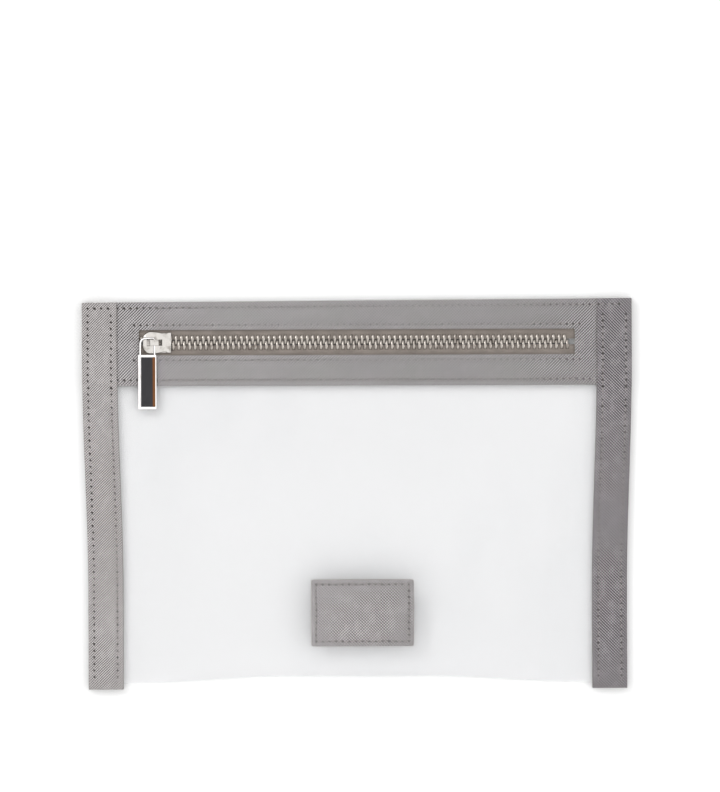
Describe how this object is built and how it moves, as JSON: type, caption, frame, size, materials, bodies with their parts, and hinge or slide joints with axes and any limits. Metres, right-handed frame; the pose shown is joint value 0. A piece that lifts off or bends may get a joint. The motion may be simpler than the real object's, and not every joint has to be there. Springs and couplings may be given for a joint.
{
  "type": "portfolio case",
  "caption": "Flat clear zip pouch for papers, with leather-look side strips, a zip band across the top of the front, a label patch and a sliding zip pull.",
  "frame": {"origin": "middle of the case's bounding box, on the surface it lies on", "axes": "+X to the right across the case, +Y up the case to its zip band, +Z out of its front"},
  "size_m": [0.24, 0.171, 0.013],
  "materials": {
    "leather": "grey cross-hatch embossed leather, satin",
    "clear_sheet": "clear flexible sheet, glossy",
    "lining": "grey suede-like lining",
    "zip_tape": "woven taupe tape",
    "zip_metal": "nickel plate",
    "pull_metal": "polished nickel plate",
    "thread": "grey sewing thread"
  },
  "bodies": {
    "case": {"clear_sheet": "clear_sheet", "zip_band": "leather", "band_lining": "lining", "left_front_strip": "leather", "left_back_strip": "leather", "right_front_strip": "leather", "right_back_strip": "leather", "label_patch": "leather", "upper_tape": "zip_tape", "lower_tape": "zip_tape", "upper_teeth": "zip_metal", "lower_teeth": "zip_metal", "top_stops": "zip_metal", "top_seam_thread": "thread", "window_thread": "thread", "band_seam_thread": "thread", "left_outer_thread": "thread", "left_inner_thread": "thread", "right_outer_thread": "thread", "right_inner_thread": "thread", "label_thread": "thread"},
    "slider": {"slider_body": "pull_metal", "slider_crown": "pull_metal"},
    "pull": {"pull_tab": "pull_metal"}
  },
  "joints": [
    {"name": "slider_slide", "type": "slide", "parent": "case", "child": "slider", "axis": [1, 0, 0], "range_m": [0, 0.174], "deforming": ["upper_teeth", "lower_teeth"]},
    {"name": "pull_swing", "type": "hinge", "parent": "slider", "child": "pull", "pos_m": [-0.0883, 0.06585, 0.00525], "axis": [0, 1, 0], "range_deg": [0, 170]}
  ]
}
